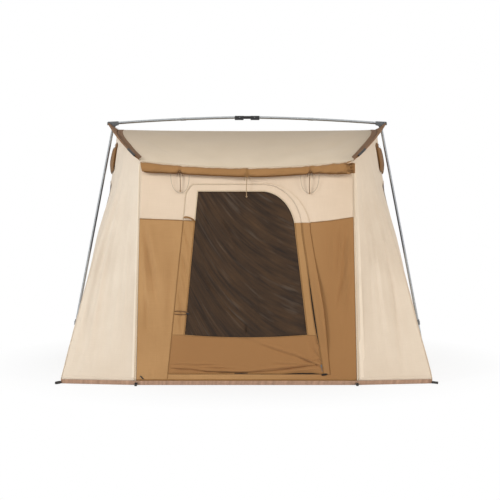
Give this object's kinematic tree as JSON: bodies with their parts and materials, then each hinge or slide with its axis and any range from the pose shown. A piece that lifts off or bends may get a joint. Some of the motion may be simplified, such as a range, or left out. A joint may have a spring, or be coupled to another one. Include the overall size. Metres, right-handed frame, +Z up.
{
  "type": "canvas tent",
  "caption": "Canvas cabin tent on a tray floor, hung from sprung roof bars under a folding ridge pole with telescoping legs, with a zipped mesh door and a rolled awning.",
  "frame": {"origin": "centre of the floor's footprint, on the ground", "axes": "+X to the right seen from in front of the door, +Y to the rear, +Z up; the door faces -Y"},
  "size_m": [3.4716, 3.16, 2.3405],
  "materials": {
    "cream_canvas": "plain-woven cotton duck, matte",
    "tan_canvas": "plain-woven cotton duck, matte",
    "brown_canvas": "plain-woven cotton duck, matte",
    "insect_mesh": "fine knitted polyester mesh",
    "floor_cloth": "coated woven cloth, satin",
    "webbing": "flat-woven webbing",
    "elastic_cord": "braided cord",
    "tie_cord": "braided cord",
    "pole_steel": "galvanised, satin",
    "bar_steel": "black-coated spring steel, satin",
    "cast_fitting": "dark coating, satin",
    "black_plastic": "moulded, matte"
  },
  "bodies": {
    "canvas": {"ridge_hub": "black_plastic", "hub_pin_left": "cast_fitting", "hub_pin_right": "cast_fitting", "spring_bar_left": "bar_steel", "spring_bar_right": "bar_steel", "bar_sleeve_front_left": "brown_canvas", "bar_sleeve_front_right": "brown_canvas", "bar_sleeve_rear_left": "brown_canvas", "bar_sleeve_rear_right": "brown_canvas", "apex_strap_left": "webbing", "apex_strap_right": "webbing", "roof_front": "cream_canvas", "roof_rear": "cream_canvas", "side_wall_left": "cream_canvas", "side_wall_right": "cream_canvas", "side_mesh_left": "insect_mesh", "side_mesh_right": "insect_mesh", "side_cover_roll_left": "tan_canvas", "side_cover_roll_right": "tan_canvas", "wing_front_left": "cream_canvas", "wing_front_right": "cream_canvas", "wing_rear_left": "cream_canvas", "wing_rear_right": "cream_canvas", "front_wall_upper": "cream_canvas", "front_wall_lower": "tan_canvas", "storm_flap": "tan_canvas", "tie_back_lower": "brown_canvas", "tie_back_upper": "brown_canvas", "rear_wall": "cream_canvas", "rear_mesh": "insect_mesh", "rear_cover_roll": "tan_canvas", "awning_roll": "tan_canvas", "awning_tie_left": "tie_cord", "awning_tie_middle": "tie_cord", "awning_tie_right": "tie_cord", "awning_loop_left": "elastic_cord", "awning_loop_right": "elastic_cord", "floor_tray": "floor_cloth"},
    "ridge_left": {"ridge_inner_tube_left": "pole_steel", "ridge_outer_tube_left": "pole_steel", "ridge_end_fitting_left": "cast_fitting", "leg_pin_left": "cast_fitting"},
    "ridge_right": {"ridge_inner_tube_right": "pole_steel", "ridge_outer_tube_right": "pole_steel", "ridge_end_fitting_right": "cast_fitting", "leg_pin_right": "cast_fitting"},
    "leg_left_upper": {"leg_upper_left": "pole_steel", "leg_collar_left": "black_plastic"},
    "leg_right_upper": {"leg_upper_right": "pole_steel", "leg_collar_right": "black_plastic"},
    "leg_left_lower": {"leg_lower_left": "pole_steel", "leg_foot_left": "black_plastic"},
    "leg_right_lower": {"leg_lower_right": "pole_steel", "leg_foot_right": "black_plastic"},
    "leg_left_button": {"leg_button_left": "pole_steel"},
    "leg_right_button": {"leg_button_right": "pole_steel"},
    "door": {"door_panel_upper": "cream_canvas", "door_panel_lower": "tan_canvas", "door_mesh": "insect_mesh"},
    "zip_slider": {"zip_slider": "cast_fitting"}
  },
  "joints": [
    {"name": "ridge_fold_left", "type": "hinge", "parent": "canvas", "child": "ridge_left", "pos_m": [-0.072, 0, 2.326], "axis": [0, 1, 0], "range_deg": [0, 80]},
    {"name": "ridge_fold_right", "type": "hinge", "parent": "canvas", "child": "ridge_right", "pos_m": [0.072, 0, 2.326], "axis": [0, -1, 0], "range_deg": [0, 80]},
    {"name": "leg_swing_left", "type": "hinge", "parent": "canvas", "child": "leg_left_upper", "pos_m": [-1.29, 0, 2.219], "axis": [0, 1, 0], "range_deg": [0, 60]},
    {"name": "leg_swing_right", "type": "hinge", "parent": "canvas", "child": "leg_right_upper", "pos_m": [1.29, 0, 2.219], "axis": [0, -1, 0], "range_deg": [0, 60]},
    {"name": "leg_slide_left", "type": "slide", "parent": "leg_left_upper", "child": "leg_left_lower", "axis": [0.1902, 0, 0.9817], "range_m": [0, 0.2]},
    {"name": "leg_slide_right", "type": "slide", "parent": "leg_right_upper", "child": "leg_right_lower", "axis": [-0.1902, 0, 0.9817], "range_m": [0, 0.2]},
    {"name": "leg_button_press_left", "type": "slide", "parent": "leg_left_upper", "child": "leg_left_button", "axis": [0.9817, 0, -0.1902], "range_m": [0, 0.0038], "stiffness_N_per_m": 400},
    {"name": "leg_button_press_right", "type": "slide", "parent": "leg_right_upper", "child": "leg_right_button", "axis": [-0.9817, 0, -0.1902], "range_m": [0, 0.0038], "stiffness_N_per_m": 400},
    {"name": "door_swing", "type": "hinge", "parent": "canvas", "child": "door", "pos_m": [-0.639, -1.52072, 0.08694], "axis": [0.0983, 0.0639, 0.9931], "range_deg": [0, 110]},
    {"name": "zip_slide", "type": "slide", "parent": "door", "child": "zip_slider", "axis": [-0.1443, 0.0635, 0.9875], "range_m": [0, 1.05]}
  ]
}
